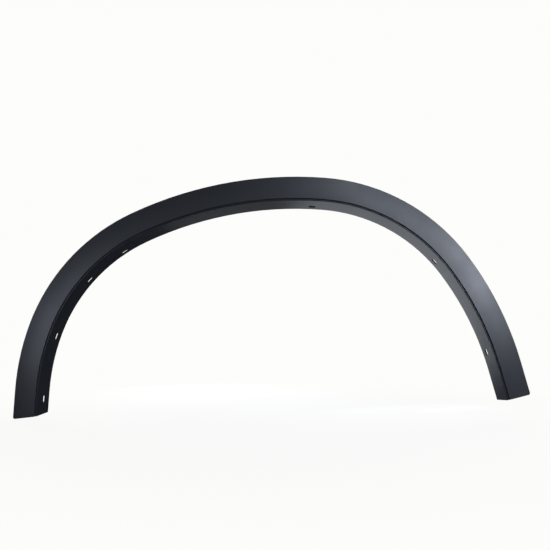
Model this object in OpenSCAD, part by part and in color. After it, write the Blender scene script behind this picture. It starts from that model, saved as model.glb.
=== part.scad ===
// Moulded wheel arch trim for the front wing of a car, as one piece.
// Its frame is the fitted one: the arch stands in the XZ plane, +Z is up, and +Y points to the body.
// The origin lies on the rim that seats on the wing, at the top of the arch.

/* [Arch line] */
// Radius of the crease line over the top of the arch
top_r = 623; // [560:1:680]
// Radius of the crease line at the right shoulder
right_shoulder_r = 298; // [270:1:320]
// Radius of the crease line down the right leg
right_leg_r = 525; // [450:1:600]
// Radius of the crease line at the left shoulder
left_shoulder_r = 300; // [270:1:320]
// Radius of the crease line down the left leg
left_leg_r = 375; // [340:1:420]
// Straight run at the foot of the right leg
right_foot = 56; // [46:0.5:80]
// Straight run at the foot of the left leg
left_foot = 42; // [34:0.5:70]
// Angle by which the right foot is cut longer at its outer edge
right_flare = 3; // [0:0.5:10]
// Angle by which the left foot is cut longer at its outer edge
left_flare = 12; // [0:0.5:14]
// Slope that shortens the rear edge of the left foot
foot_rake = 5.5; // [0:0.5:10]
// Radius of the outer corner of each foot
foot_corner_r = 4; // [2:0.5:6]

/* [Face band] */
// Width of the face, from the crease line to the outer edge
face_w = 39.4; // [34:0.2:46]
// Fall of the face towards the body, from the crease to the outer edge
face_fall = 4.5; // [3:0.5:5.5]
// Radius of the crown across the face
face_crown_r = 350; // [250:10:900]
// Thickness of the moulded wall
wall = 2.5; // [2:0.1:3]
// Distance from the crest of the face to the rim that seats on the wing
seat_depth = 12; // [11:0.5:16]
// Radius that rounds the face into the rim
edge_r = 2.2; // [1.4:0.2:2.4]

/* [Crease] */
// Width of the groove between the face and the flange
groove_w = 2.6; // [2:0.2:3]
// Depth of the groove
groove_d = 2; // [1.4:0.2:2.2]
// Thickness of the bead between the groove and the flange
bead_w = 1.2; // [1:0.1:1.6]

/* [Wheel side flange] */
// Depth of the flange behind the crest of the face
flange_depth = 28; // [26:0.5:34]
// Distance from the crease line in to the rear edge of the flange
flange_run = 11.4; // [9:0.2:14]

/* [Fixing slots] */
// Length of a fixing slot along the arch
slot_length = 12; // [9:0.5:16]
// Width of a fixing slot across the flange
slot_width = 5.2; // [4.4:0.2:7]
// Distance of each slot along the crease line from the top, right being positive
slot_stations = [-623.5, -511, -394.5, -315, 274, 458.5];
// Depth of each slot's centre behind the crest
slot_depths = [16.5, 18, 18.5, 22.5, 18, 18];
// Distance of the closed pocket from the top
pocket_station = 29; // [10:0.5:50]
// Depth of the closed pocket's centre behind the crest
pocket_depth = 20; // [18:0.5:21]
// Wall of the closed pocket
pocket_wall = 1.8; // [1.4:0.1:2.2]
// Room behind the slot inside the closed pocket
pocket_room = 3.4; // [3:0.2:5]

/* [Clip towers] */
// Distance of each clip tower along the crease line from the top
tower_stations = [-560, -440, -250, -90, 110, 240, 400];
// Distance of the towers' middle out from the crease line
tower_out = 19; // [17:0.5:21]
// Length of a tower along the arch
tower_length = 20; // [18:0.5:24]
// Width of a tower across the face
tower_width = 15; // [13:0.5:16]
// Wall of a tower
tower_wall = 1.8; // [1.4:0.1:2]
// Gap between a tower's top and the wing
tower_gap = 0.6; // [0.4:0.1:1]
// Diameter of the clip's neck that a tower holds
clip_neck = 6.4; // [6:0.2:7]

/* [Hidden] */
$fn = 96;
overlap = 0.6;
reach_out = 150;
reach_in = 100;
tall = (seat_depth + flange_depth) * 5;
crest = seat_depth;
groove_r = groove_w / 2;
groove_floor_r = groove_r + wall;
groove_z = crest - groove_d + groove_r;
rim_t = wall - 0.1;
// The arcs meet on the long sides of whole-number triangles, which keeps their centres on round numbers
right_foot_heading = atan2(24, 7);
right_leg_heading = atan2(4, 3);
right_top_heading = atan2(237, 3116);
left_top_heading = -atan2(36, 77);
left_leg_heading = -atan2(117, 44);
left_foot_heading = -atan2(3116, 237);
headings = [right_foot_heading, right_leg_heading, right_top_heading, left_top_heading, left_leg_heading,
    left_foot_heading];
radii = [right_leg_r, right_shoulder_r, top_r, left_shoulder_r, left_leg_r];
// The rim's middle line passes through the origin at the top of the arch
top_centre = [0, -(top_r + face_w - rim_t / 2)];
right_shoulder_centre = top_centre + (top_r - right_shoulder_r) * outward(right_top_heading);
right_leg_centre = right_shoulder_centre + (right_shoulder_r - right_leg_r) * outward(right_leg_heading);
left_shoulder_centre = top_centre + (top_r - left_shoulder_r) * outward(left_top_heading);
left_leg_centre = left_shoulder_centre + (left_shoulder_r - left_leg_r) * outward(left_leg_heading);
centres = [right_leg_centre, right_shoulder_centre, top_centre, left_shoulder_centre, left_leg_centre];
right_foot_point = right_leg_centre + right_leg_r * outward(right_foot_heading);
left_foot_point = left_leg_centre + left_leg_r * outward(left_foot_heading);
// Lengths of the crease line from the top of the arch to each joint between arcs
right_leg_station = top_r * rad(right_top_heading)
    + right_shoulder_r * rad(right_leg_heading - right_top_heading);
right_foot_station = right_leg_station + right_leg_r * rad(right_foot_heading - right_leg_heading);
left_leg_station = top_r * rad(left_top_heading) + left_shoulder_r * rad(left_leg_heading - left_top_heading);
left_foot_station = left_leg_station + left_leg_r * rad(left_foot_heading - left_leg_heading);
// The face's crown is one circle through its inner and outer edges
face_chord = [face_w, -face_fall];
face_sag = sqrt(pow(face_crown_r, 2) - pow(norm(face_chord) / 2, 2));
face_centre = [0, crest] + face_chord / 2 - face_sag * [face_fall, face_w] / norm(face_chord);
// Rounds that the face's circle nearly touches from outside, so that each one meets it at a slight angle
roll_r = 0.7;
roll_z = crown_z(groove_r + roll_r, roll_r) + 0.02;
edge_z = crown_z(face_w - edge_r, edge_r) + 0.3;
edge_spare = 4;
// The flange runs back and in from the bead
bead_x = -groove_r - bead_w;
flange_foot = crest - flange_depth;
flange_slope = (flange_run + bead_x) / (groove_z - flange_foot);
flange_lean = atan(flange_slope);
flange_wall = wall / cos(flange_lean);
// A foot's sweep runs on past its cut, and the corner's round stands this much proud of both edges
foot_spare = 12;
foot_corner_proud = 0.03;
// A closed foot's wall ends inside the walls round it
foot_wall_reach = 1.8;

// Height of the centre of a circle of radius r, at a distance out, that touches the crown from inside
function crown_z(x, r) = face_centre.y + sqrt(pow(face_crown_r - r, 2) - pow(x - face_centre.x, 2));
// Angle in degrees as a length on a circle of radius 1
function rad(angle) = angle * PI / 180;
// Unit direction away from the wheel, at an angle from straight up
function outward(heading) = [sin(heading), cos(heading)];
// Unit direction along the arch, to the right
function along(heading) = [cos(heading), -sin(heading)];
// Heading of the crease line at a distance along it from the top
function heading_at(s) = s > right_foot_station ? right_foot_heading
    : s > right_leg_station ? right_leg_heading + (s - right_leg_station) / rad(right_leg_r)
    : s > top_r * rad(right_top_heading) ? right_top_heading + s_past_top(s) / rad(right_shoulder_r)
    : s > top_r * rad(left_top_heading) ? s / rad(top_r)
    : s > left_leg_station ? left_top_heading + (s - top_r * rad(left_top_heading)) / rad(left_shoulder_r)
    : s > left_foot_station ? left_leg_heading + (s - left_leg_station) / rad(left_leg_r)
    : left_foot_heading;
function s_past_top(s) = s - top_r * rad(right_top_heading);
// Point of the crease line at a distance along it from the top
function point_at(s) = s > right_foot_station ? right_foot_point + (s - right_foot_station) * along(heading_at(s))
    : s < left_foot_station ? left_foot_point + (s - left_foot_station) * along(heading_at(s))
    : centres[arc_at(s)] + radii[arc_at(s)] * outward(heading_at(s));
// Arc that holds a distance along the crease line
function arc_at(s) = s > right_leg_station ? 0
    : s > top_r * rad(right_top_heading) ? 1
    : s > top_r * rad(left_top_heading) ? 2
    : s > left_leg_station ? 3
    : 4;

// Distance along a foot's cut at which its corner round starts
function foot_corner_out(flare) = (face_w - foot_corner_r * (1 + sin(flare))) / cos(flare) + foot_corner_proud;
// Visible line of the flange at a height
function flange_x(z) = bead_x - flange_slope * (groove_z - z);
// Middle of the face's wall at a distance out
function face_middle(x) = crown_z(x, wall / 2);

// Sweeps a section along the whole arch; x is the distance out from the crease line, y the height
module along_arch() {
    for (i = [0:4]) arc_run(i) children();
    at_right_foot() foot_run(right_foot) children();
    at_left_foot() foot_run(left_foot) children();
}

// One arc of the sweep: a full ring of the section, cut to its sector
module arc_run(i) {
    intersection() {
        translate(centres[i])
            rotate_extrude($fn = 360) translate([radii[i], 0]) children();
        translate([0, 0, -tall / 2])
            linear_extrude(tall)
                polygon([
                    joint_point(i, headings[i], -reach_in),
                    joint_point(i, headings[i], reach_out),
                    joint_point(i, headings[i + 1], reach_out),
                    joint_point(i, headings[i + 1], -reach_in)
                ]);
    }
}

// Point at a distance out from the crease line, at one end of an arc
function joint_point(i, heading, out) = centres[i] + (radii[i] + out) * outward(heading);

// Places children at the start of the straight right foot: x runs down the foot, y outward
module at_right_foot() {
    translate(right_foot_point) rotate([0, 0, -right_foot_heading]) children();
}

// The same at the left foot, with x running down it too
module at_left_foot() {
    translate(left_foot_point) rotate([0, 0, -left_foot_heading]) mirror([1, 0, 0]) children();
}

// Straight run of a section down a foot, some way past its cut
module foot_run(length) {
    rotate([90, 0, 90]) linear_extrude(length + foot_spare) children();
}

// Section of the whole trim: the face, the groove at the crease, the flange and the rim
module trim_section() {
    difference() {
        union() {
            face_plate();
            flange_wall_section();
            groove_floor();
            translate([bead_x + bead_w / 2, groove_z]) circle(bead_w / 2);
            rim_section();
        }
        groove_section();
        face_edge_round();
        outer_edge_round();
    }
}

// The crowned plate of the face, left long at its outer edge
module face_plate() {
    intersection() {
        difference() {
            translate(face_centre) circle(face_crown_r, $fn = 360);
            translate(face_centre) circle(face_crown_r - wall, $fn = 360);
        }
        square([face_w + edge_spare, crest + overlap]);
    }
}

// The flange as a leaning wall
module flange_wall_section() {
    polygon([
        [bead_x, groove_z],
        [bead_x + flange_wall, groove_z],
        [-flange_run + flange_wall, flange_foot],
        [-flange_run, flange_foot]
    ]);
}

// The wall follows the groove round on its hidden side
module groove_floor() {
    top = groove_z - groove_r / 2;
    foot = groove_z - groove_floor_r * 2;
    intersection() {
        translate([0, groove_z]) circle(groove_floor_r);
        polygon([
            [flange_x(top) + flange_wall / 2, top],
            [flange_x(foot) + flange_wall / 2, foot],
            [groove_floor_r * 2, foot],
            [groove_floor_r * 2, top]
        ]);
    }
}

// The groove that sets the face off from the flange
module groove_section() {
    translate([0, groove_z]) circle(groove_r);
    translate([-groove_r, groove_z]) square([groove_w, groove_d]);
}

// What is cut away where the face rolls into the groove
module face_edge_round() {
    difference() {
        translate([groove_r - overlap, roll_z]) square([roll_r + overlap, roll_r * 2]);
        translate([groove_r + roll_r, roll_z]) circle(roll_r);
    }
}

// The rim behind the outer edge, left thick outside
module rim_section() {
    translate([face_w - rim_t, 0]) square([rim_t + edge_spare / 2, crest - face_fall - wall / 2]);
}

// What is cut away outside the outer edge, with the round into the face
module outer_edge_round() {
    translate([face_w, -overlap]) square([edge_spare * 2, crest + overlap * 2]);
    difference() {
        translate([face_w - edge_r, edge_z]) square([edge_r + overlap, crest]);
        translate([face_w - edge_r, edge_z]) circle(edge_r);
    }
}

// Section of a closed foot's wall, which fills the space behind the face up to the seat
module foot_wall_section() {
    polygon([
        [flange_x(0) + flange_wall / 2, 0],
        [face_w - rim_t / 2, 0],
        [face_w - rim_t / 2, face_middle(face_w - rim_t)],
        [groove_r + foot_wall_reach, crest - foot_wall_reach],
        [flange_x(groove_z - groove_floor_r) + flange_wall / 2, groove_z - groove_floor_r]
    ]);
}

// Wall that closes a foot, left long past its cut
module foot_wall(length, flare, rake) {
    intersection() {
        translate([length - foot_spare, 0, 0]) foot_run(foot_spare) foot_wall_section();
        at_foot_cut(length, flare, rake)
            translate([-rim_t, -reach_in, -tall / 2]) cube([foot_spare, reach_in * 2, tall]);
    }
}

// Places children on a foot's cut: x stands off it, y runs along it outward
module at_foot_cut(length, flare, rake) {
    translate([length, 0, crest]) rotate([0, rake, -flare]) children();
}

// What is cut away past a foot, with the round of its outer corner
module foot_cut(length, flare, rake) {
    corner_out = foot_corner_out(flare);
    at_foot_cut(length, flare, rake)
        translate([0, 0, -tall / 2])
            linear_extrude(tall) {
                translate([0, -reach_in]) square([reach_in, reach_in * 2]);
                difference() {
                    translate([-foot_corner_r, corner_out]) square([foot_corner_r * 2, foot_corner_r * 3]);
                    translate([foot_corner_proud - foot_corner_r, corner_out]) circle(foot_corner_r);
                }
            }
}

// Places children on the flange: x along the arch, y back along the flange, z out of its hidden side
module on_flange(station, depth) {
    translate(point_at(station))
        rotate([0, 0, -heading_at(station)])
            translate([0, flange_x(crest - depth), crest - depth])
                rotate([-90 - flange_lean, 0, 0])
                    children();
}

// Outline of a slot with full rounds at its ends
module slot_outline() {
    straight = slot_length - slot_width;
    translate([-straight / 2, -slot_width / 2]) square([straight, slot_width]);
    translate([-straight / 2, 0]) circle(slot_width / 2);
    translate([straight / 2, 0]) circle(slot_width / 2);
}

// One slot through the flange
module slot_cut() {
    translate([0, 0, -wall]) linear_extrude(wall * 3) slot_outline();
}

// Box behind the slot at the crown, which no light comes through
module pocket_box(grow, from, to) {
    translate([-slot_length / 2 - grow, -slot_width / 2 - grow, from])
        cube([slot_length + grow * 2, slot_width + grow * 2, to - from]);
}

// Places children behind the face: x along the arch, y outward from the middle of the towers
module behind_face(station) {
    translate(point_at(station)) rotate([0, 0, -heading_at(station)]) translate([0, tower_out, 0]) children();
}

// Solid of one tower, from near the seat up into the face's wall
module tower_block() {
    translate([-tower_length / 2, 0, 0])
        rotate([90, 0, 90])
            linear_extrude(tower_length)
                polygon([
                    [-tower_width / 2, tower_gap],
                    [tower_width / 2, tower_gap],
                    [tower_width / 2, face_middle(tower_out + tower_width / 2)],
                    [-tower_width / 2, face_middle(tower_out - tower_width / 2)]
                ]);
}

// Room inside a tower, open at its right end, and the keyhole that a clip's neck slides into
module tower_room() {
    inner_w = tower_width - tower_wall * 2;
    translate([-tower_length / 2 + tower_wall, 0, 0])
        rotate([90, 0, 90])
            linear_extrude(tower_length)
                polygon([
                    [-inner_w / 2, tower_gap + tower_wall],
                    [inner_w / 2, tower_gap + tower_wall],
                    [inner_w / 2, face_middle(tower_out + inner_w / 2) - wall / 2 - overlap / 4],
                    [-inner_w / 2, face_middle(tower_out - inner_w / 2) - wall / 2 - overlap / 4]
                ]);
    translate([0, 0, tower_gap - overlap]) {
        cylinder(h = tower_wall + overlap * 2, d = clip_neck);
        translate([0, -clip_neck / 2, 0]) cube([tower_length, clip_neck, tower_wall + overlap * 2]);
    }
}

// The sweep with all that is added behind it
module filled_trim() {
    along_arch() trim_section();
    at_right_foot() foot_wall(right_foot, right_flare, 0);
    at_left_foot() foot_wall(left_foot, left_flare, foot_rake);
    on_flange(pocket_station, pocket_depth) pocket_box(pocket_wall, wall / 2, wall + pocket_room + pocket_wall);
    for (s = tower_stations)
        behind_face(s)
            difference() {
                tower_block();
                tower_room();
            }
}

// The fitted trim lies on its back here: z points out of the car
module arch_trim() {
    color("#33373d")
        rotate([90, 0, 0])
            difference() {
                filled_trim();
                at_right_foot() foot_cut(right_foot, right_flare, 0);
                at_left_foot() foot_cut(left_foot, left_flare, foot_rake);
                for (i = [0:len(slot_stations) - 1])
                    on_flange(slot_stations[i], slot_depths[i]) slot_cut();
                on_flange(pocket_station, pocket_depth) {
                    slot_cut();
                    pocket_box(0, wall + overlap / 4, wall + pocket_room);
                }
            }
}

arch_trim();
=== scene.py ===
"""Wheel arch trim: materials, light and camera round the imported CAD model.

The arch stands as it is fitted: +X along the car, +Y in to the body, +Z up, all in metres.
"""

import logging
import math
from dataclasses import dataclass, field
from enum import Enum

import bpy
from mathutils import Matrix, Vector


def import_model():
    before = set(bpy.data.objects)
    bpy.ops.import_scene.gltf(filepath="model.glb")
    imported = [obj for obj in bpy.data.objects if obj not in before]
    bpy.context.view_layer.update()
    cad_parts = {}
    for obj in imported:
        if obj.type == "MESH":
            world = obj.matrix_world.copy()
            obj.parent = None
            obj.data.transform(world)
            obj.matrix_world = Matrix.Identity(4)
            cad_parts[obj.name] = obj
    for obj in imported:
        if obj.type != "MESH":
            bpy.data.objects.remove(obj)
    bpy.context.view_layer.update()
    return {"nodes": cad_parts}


MM = 0.001
# What the soft boxes face
MIDDLE = (-0.04, 0.0, -0.2)
RIGHT_LEG = (0.25, 0.0, -0.2)
RIGHT_FOOT = (0.42, 0.0, -0.36)
# How far from the arch's middle the ring of front boxes stands
RING_RADIUS = 1.7
FRONT_TINT = "#e4ecfc"
BACK_TINT = "#eaf0f9"
# Sockets of Blender's colour mix, which share their names with the node's other data types
MIX_SHARE, MIX_FIRST, MIX_SECOND, MIX_RESULT = 0, 6, 7, 2
log = logging.getLogger("arch_trim_scene")


def linear_colour(hex_code: str) -> tuple[float, float, float, float]:
    """Turns an sRGB hex colour into linear light.

    Args:
        hex_code: six hex digits, with or without a leading hash.

    Returns:
        Linear red, green, blue and an alpha of 1.
    """
    digits = hex_code.lstrip("#")
    channels = [int(digits[i : i + 2], 16) / 255 for i in (0, 2, 4)]
    linear = [c / 12.92 if c <= 0.04045 else ((c + 0.055) / 1.055) ** 2.4 for c in channels]
    return (linear[0], linear[1], linear[2], 1.0)


def add_node(
    tree: bpy.types.NodeTree,
    kind: str,
    settings: dict[str, object],
    links: dict[str | int, object],
) -> bpy.types.Node:
    """Adds one node, with its settings and what feeds it.

    Args:
        tree: the node tree that it joins.
        kind: Blender's name of the node type.
        settings: attributes of the node by name.
        links: sockets by name or number, each given an output socket to link or a plain value.

    Returns:
        The new node.
    """
    node = tree.nodes.new(kind)
    for name, value in settings.items():
        setattr(node, name, value)
    for name, value in links.items():
        if isinstance(value, bpy.types.NodeSocket):
            tree.links.new(value, node.inputs[name])
        else:
            node.inputs[name].default_value = value
    return node


def empty_tree(owner: bpy.types.Material | bpy.types.World) -> bpy.types.NodeTree:
    """Gives a material or world an empty node tree.

    Args:
        owner: the material or world.

    Returns:
        Its node tree.
    """
    owner.use_nodes = True
    owner.node_tree.nodes.clear()
    return owner.node_tree


def on_ring(azimuth: float, elevation: float) -> tuple[float, float, float]:
    """Finds a place on the ring of soft boxes in front of the arch.

    Args:
        azimuth: degrees to the right of straight in front.
        elevation: degrees above the arch's middle.

    Returns:
        The place.
    """
    turn, rise = math.radians(azimuth), math.radians(elevation)
    out = RING_RADIUS * math.cos(rise)
    return (
        MIDDLE[0] + out * math.sin(turn),
        MIDDLE[1] - out * math.cos(turn),
        MIDDLE[2] + RING_RADIUS * math.sin(rise),
    )


class LampSide(Enum):
    """The soft boxes of the studio, by where they stand."""

    RIGHT_FRONT = "right_front"
    RIGHT_HIGH = "right_high"
    TOP_FRONT = "top_front"
    LEFT_FRONT = "left_front"
    FRONT_WIDE = "front_wide"
    BEHIND_FOOT = "behind_foot"
    LEFT_BACK = "left_back"
    BEHIND_CROWN = "behind_crown"
    BEHIND_LEFT = "behind_left"
    BACK_RIGHT = "back_right"
    BACK_HIGH = "back_high"


@dataclass(frozen=True)
class SoftBox:
    """One soft box: where it stands, what it faces, its size in metres and its power."""

    side: LampSide
    place: tuple[float, float, float]
    aim: tuple[float, float, float]
    width: float
    height: float
    watts: float
    tint: str


@dataclass(frozen=True)
class GrainedPolypropylene:
    """Polypropylene coloured all through, moulded against an etched steel tool.

    The etched grain breaks the gloss up into a broad satin sheen, and the melt leaves slightly
    duller and darker areas where it cooled at another pace.
    """

    name: str = "moulded_polypropylene_etched_grain"
    body_hex: str = "#212327"
    dull_hex: str = "#1e2024"
    # Typical for polypropylene
    ior: float = 1.49
    roughness: float = 0.35
    roughness_spread: float = 0.05
    # Real etched grain is too fine to show from this far away, so it is drawn coarser
    grain_mm: float = 0.8
    grain_depth_mm: float = 0.012
    grain_strength: float = 0.3
    grain_detail: float = 2.0
    grain_roughness: float = 0.6
    # Areas that cooled at another pace
    flow_mm: float = 60.0
    flow_detail: float = 3.0
    flow_roughness: float = 0.5
    # The part of the flow pattern's range over which the sheen changes
    flow_low: float = 0.3
    flow_high: float = 0.7

    def material(self) -> bpy.types.Material:
        """Builds the material.

        Returns:
            The node material.
        """
        made = bpy.data.materials.new(self.name)
        tree = empty_tree(made)
        place = add_node(tree, "ShaderNodeTexCoord", {}, {})
        flow = add_node(
            tree,
            "ShaderNodeTexNoise",
            {},
            {
                "Vector": place.outputs["Object"],
                "Scale": 1 / (self.flow_mm * MM),
                "Detail": self.flow_detail,
                "Roughness": self.flow_roughness,
            },
        )
        colour = add_node(
            tree,
            "ShaderNodeMix",
            {"data_type": "RGBA"},
            {
                MIX_SHARE: flow.outputs["Fac"],
                MIX_FIRST: linear_colour(self.dull_hex),
                MIX_SECOND: linear_colour(self.body_hex),
            },
        )
        roughness = add_node(
            tree,
            "ShaderNodeMapRange",
            {},
            {
                "Value": flow.outputs["Fac"],
                "From Min": self.flow_low,
                "From Max": self.flow_high,
                "To Min": self.roughness + self.roughness_spread / 2,
                "To Max": self.roughness - self.roughness_spread / 2,
            },
        )
        grain = add_node(
            tree,
            "ShaderNodeTexNoise",
            {},
            {
                "Vector": place.outputs["Object"],
                "Scale": 1 / (self.grain_mm * MM),
                "Detail": self.grain_detail,
                "Roughness": self.grain_roughness,
            },
        )
        bump = add_node(
            tree,
            "ShaderNodeBump",
            {},
            {
                "Height": grain.outputs["Fac"],
                "Strength": self.grain_strength,
                "Distance": self.grain_depth_mm * MM,
            },
        )
        plastic = add_node(
            tree,
            "ShaderNodeBsdfPrincipled",
            {},
            {
                "Base Color": colour.outputs[MIX_RESULT],
                "Roughness": roughness.outputs["Result"],
                "IOR": self.ior,
                "Normal": bump.outputs["Normal"],
            },
        )
        add_node(tree, "ShaderNodeOutputMaterial", {}, {"Surface": plastic.outputs["BSDF"]})
        return made


@dataclass
class ArchTrim:
    """The trim itself: one moulding, which keeps the CAD node's shape."""

    node: str = "arch_trim"
    plastic: GrainedPolypropylene = field(default_factory=GrainedPolypropylene)

    def build(self, nodes: dict[str, bpy.types.Object]) -> list[bpy.types.Object]:
        """Dresses the CAD node.

        Args:
            nodes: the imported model's objects by node name.

        Returns:
            The visible pieces.
        """
        moulding = nodes[self.node]
        moulding.data.materials.clear()
        moulding.data.materials.append(self.plastic.material())
        return [moulding]


@dataclass
class Studio:
    """The pale floor, the white surroundings and the soft boxes."""

    # A millimetre below the lower foot
    floor_z: float = -0.4139
    floor_radius: float = 6.0
    floor_sides: int = 64
    backdrop_hex: str = "#fdfdfb"
    floor_hex: str = "#f4f6f8"
    # What the floor throws back on to the trim: the photo's dark flange shows that this is little
    bounce_hex: str = "#4a4c50"
    # Share of the floor's colour that takes light and shadow near the feet
    floor_shade: float = 0.12
    # Distances from the arch's crown over which that share fades to nothing
    shade_start: float = 0.35
    shade_reach: float = 0.9
    ambient_hex: str = "#dfe4ee"
    ambient_strength: float = 0.04
    # The photo's dark flange shows that little of the backdrop is mirrored in the plastic
    backdrop_in_gloss: float = 0.05
    boxes: tuple[SoftBox, ...] = (
        # In front: the sheen along the face
        SoftBox(LampSide.RIGHT_FRONT, on_ring(40, 13), MIDDLE, 0.3, 0.44, 12.0, FRONT_TINT),
        SoftBox(LampSide.RIGHT_HIGH, on_ring(24, 24), MIDDLE, 0.32, 0.32, 4.2, FRONT_TINT),
        SoftBox(LampSide.TOP_FRONT, on_ring(16, 34), MIDDLE, 0.32, 0.32, 2.6, FRONT_TINT),
        SoftBox(LampSide.LEFT_FRONT, on_ring(-36, 2), MIDDLE, 0.6, 0.32, 3.8, FRONT_TINT),
        SoftBox(LampSide.FRONT_WIDE, (-0.55, -1.7, 0.25), MIDDLE, 1.6, 0.9, 1.3, FRONT_TINT),
        # Low and behind: the sheen along the flange of the crown and the right leg
        SoftBox(
            LampSide.BEHIND_FOOT, (0.3, 0.17, -0.37), RIGHT_FOOT, 0.14, 0.07, 0.07, BACK_TINT
        ),
        SoftBox(LampSide.LEFT_BACK, (-0.35, 0.75, -0.29), RIGHT_LEG, 0.3, 0.22, 8.5, BACK_TINT),
        SoftBox(LampSide.BEHIND_CROWN, (0.15, 0.22, -0.29), RIGHT_LEG, 0.3, 0.22, 0.4, BACK_TINT),
        SoftBox(LampSide.BEHIND_LEFT, (-0.1, 0.22, -0.29), RIGHT_LEG, 0.3, 0.22, 0.08, BACK_TINT),
        # High and behind: the hidden side
        SoftBox(LampSide.BACK_RIGHT, (0.9, 1.2, 0.7), MIDDLE, 1.0, 0.8, 12.0, BACK_TINT),
        SoftBox(LampSide.BACK_HIGH, (-0.9, 1.2, 0.9), MIDDLE, 1.0, 0.8, 14.0, BACK_TINT),
    )

    def floor(self) -> bpy.types.Object:
        """Makes the floor, which keeps a faint shadow near the feet and fades into the backdrop.

        Returns:
            The floor's object.
        """
        turns = [math.tau * i / self.floor_sides for i in range(self.floor_sides)]
        rim = [
            (self.floor_radius * math.cos(a), self.floor_radius * math.sin(a), self.floor_z)
            for a in turns
        ]
        mesh = bpy.data.meshes.new("floor")
        mesh.from_pydata(rim, [], [tuple(range(self.floor_sides))])
        ground = bpy.data.objects.new("floor", mesh)
        bpy.context.scene.collection.objects.link(ground)
        mesh.materials.append(self.floor_material())
        return ground

    def floor_material(self) -> bpy.types.Material:
        """Builds the floor's material: painted board, evenly matt.

        Returns:
            The node material.
        """
        made = bpy.data.materials.new("matt_painted_board")
        tree = empty_tree(made)
        spot = add_node(tree, "ShaderNodeNewGeometry", {}, {})
        away = add_node(
            tree,
            "ShaderNodeVectorMath",
            {"operation": "LENGTH"},
            {0: spot.outputs["Position"]},
        )
        share = add_node(
            tree,
            "ShaderNodeMapRange",
            {"interpolation_type": "SMOOTHSTEP"},
            {
                "Value": away.outputs["Value"],
                "From Min": self.shade_start,
                "From Max": self.shade_reach,
                "To Min": self.floor_shade,
                "To Max": 0.0,
            },
        )
        seen = add_node(tree, "ShaderNodeLightPath", {}, {})
        glow_share = add_node(
            tree, "ShaderNodeMath", {"operation": "SUBTRACT"}, {0: 1.0, 1: share.outputs["Result"]}
        )
        seen_glow = add_node(
            tree,
            "ShaderNodeMath",
            {"operation": "MULTIPLY"},
            {0: glow_share.outputs["Value"], 1: seen.outputs["Is Camera Ray"]},
        )
        paint = add_node(
            tree,
            "ShaderNodeMix",
            {"data_type": "RGBA"},
            {
                MIX_SHARE: seen.outputs["Is Camera Ray"],
                MIX_FIRST: linear_colour(self.bounce_hex),
                MIX_SECOND: linear_colour(self.floor_hex),
            },
        )
        board = add_node(
            tree, "ShaderNodeBsdfDiffuse", {}, {"Color": paint.outputs[MIX_RESULT]}
        )
        glow = add_node(
            tree,
            "ShaderNodeEmission",
            {},
            {"Color": linear_colour(self.backdrop_hex), "Strength": 1.0},
        )
        mixed = add_node(
            tree,
            "ShaderNodeMixShader",
            {},
            {
                0: seen_glow.outputs["Value"],
                1: board.outputs["BSDF"],
                2: glow.outputs["Emission"],
            },
        )
        add_node(tree, "ShaderNodeOutputMaterial", {}, {"Surface": mixed.outputs["Shader"]})
        return made

    def world(self) -> bpy.types.World:
        """Makes the surroundings: white where the camera looks, dim where they light the trim.

        Returns:
            The world.
        """
        made = bpy.data.worlds.new("pale_studio")
        bpy.context.scene.world = made
        tree = empty_tree(made)
        seen = add_node(tree, "ShaderNodeLightPath", {}, {})
        mirrored = add_node(
            tree,
            "ShaderNodeMath",
            {"operation": "MULTIPLY"},
            {0: seen.outputs["Is Glossy Ray"], 1: self.backdrop_in_gloss},
        )
        direct = add_node(
            tree,
            "ShaderNodeMath",
            {"operation": "MAXIMUM"},
            {0: seen.outputs["Is Camera Ray"], 1: seen.outputs["Is Transmission Ray"]},
        )
        white_share = add_node(
            tree,
            "ShaderNodeMath",
            {"operation": "MAXIMUM"},
            {0: direct.outputs["Value"], 1: mirrored.outputs["Value"]},
        )
        room = add_node(
            tree,
            "ShaderNodeBackground",
            {},
            {"Color": linear_colour(self.ambient_hex), "Strength": self.ambient_strength},
        )
        backdrop = add_node(
            tree,
            "ShaderNodeBackground",
            {},
            {"Color": linear_colour(self.backdrop_hex), "Strength": 1.0},
        )
        mixed = add_node(
            tree,
            "ShaderNodeMixShader",
            {},
            {
                0: white_share.outputs["Value"],
                1: room.outputs["Background"],
                2: backdrop.outputs["Background"],
            },
        )
        add_node(tree, "ShaderNodeOutputWorld", {}, {"Surface": mixed.outputs["Shader"]})
        return made

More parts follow.
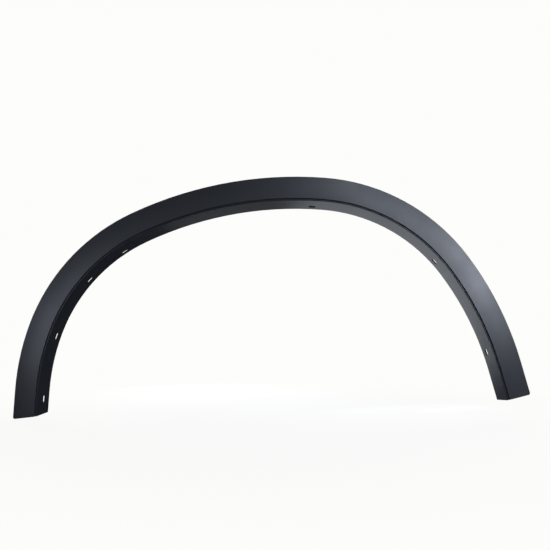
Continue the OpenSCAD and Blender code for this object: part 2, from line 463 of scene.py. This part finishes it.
    def soft_box(self, box: SoftBox) -> bpy.types.Object:
        """Adds one soft box, which the camera doesn't see.

        Args:
            box: where it stands and how strong it is.

        Returns:
            The lamp's object.
        """
        lamp = bpy.data.lights.new(f"soft_box_{box.side.value}", "AREA")
        lamp.shape = "RECTANGLE"
        lamp.size, lamp.size_y = box.width, box.height
        lamp.energy = box.watts
        lamp.color = linear_colour(box.tint)[:3]
        holder = bpy.data.objects.new(lamp.name, lamp)
        holder.location = box.place
        facing = Vector(box.aim) - Vector(box.place)
        holder.rotation_euler = facing.to_track_quat("-Z", "Y").to_euler()
        holder.visible_camera = False
        bpy.context.scene.collection.objects.link(holder)
        return holder

    def build(self) -> None:
        """Sets the whole studio up."""
        self.floor()
        self.world()
        for box in self.boxes:
            self.soft_box(box)


@dataclass(frozen=True)
class ProductCamera:
    """The photograph's camera, square to the arch and about two thirds of the way down it."""

    distance: float = 1.066
    crest_y: float = -0.012
    x: float = -0.0184
    z: float = -0.2634
    frame_px: float = 550.0
    focal_px: float = 627.0
    sensor_mm: float = 36.0
    # Where the camera's axis meets the frame
    column_px: float = 285.0
    row_px: float = 331.4

    def build(self) -> bpy.types.Object:
        """Makes the camera and gives it to the scene.

        Returns:
            The camera's object.
        """
        lens = bpy.data.cameras.new("camera")
        lens.sensor_width = self.sensor_mm
        lens.lens = self.focal_px / self.frame_px * self.sensor_mm
        lens.shift_x = (self.frame_px / 2 - self.column_px) / self.frame_px
        lens.shift_y = (self.row_px - self.frame_px / 2) / self.frame_px
        holder = bpy.data.objects.new("camera", lens)
        holder.location = (self.x, self.crest_y - self.distance, self.z)
        holder.rotation_euler = (math.radians(90), 0.0, 0.0)
        bpy.context.scene.collection.objects.link(holder)
        bpy.context.scene.camera = holder
        return holder


def main() -> None:
    """Builds the scene in order and reports each piece."""
    logging.basicConfig(level=logging.INFO, format="%(name)s: %(message)s")
    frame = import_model()
    bpy.context.scene.view_settings.view_transform = "Standard"
    ProductCamera().build()
    Studio().build()
    for piece in ArchTrim().build(frame["nodes"]):
        log.info("%s: %d vertices", piece.name, len(piece.data.vertices))


if __name__ == "__main__":
    main()
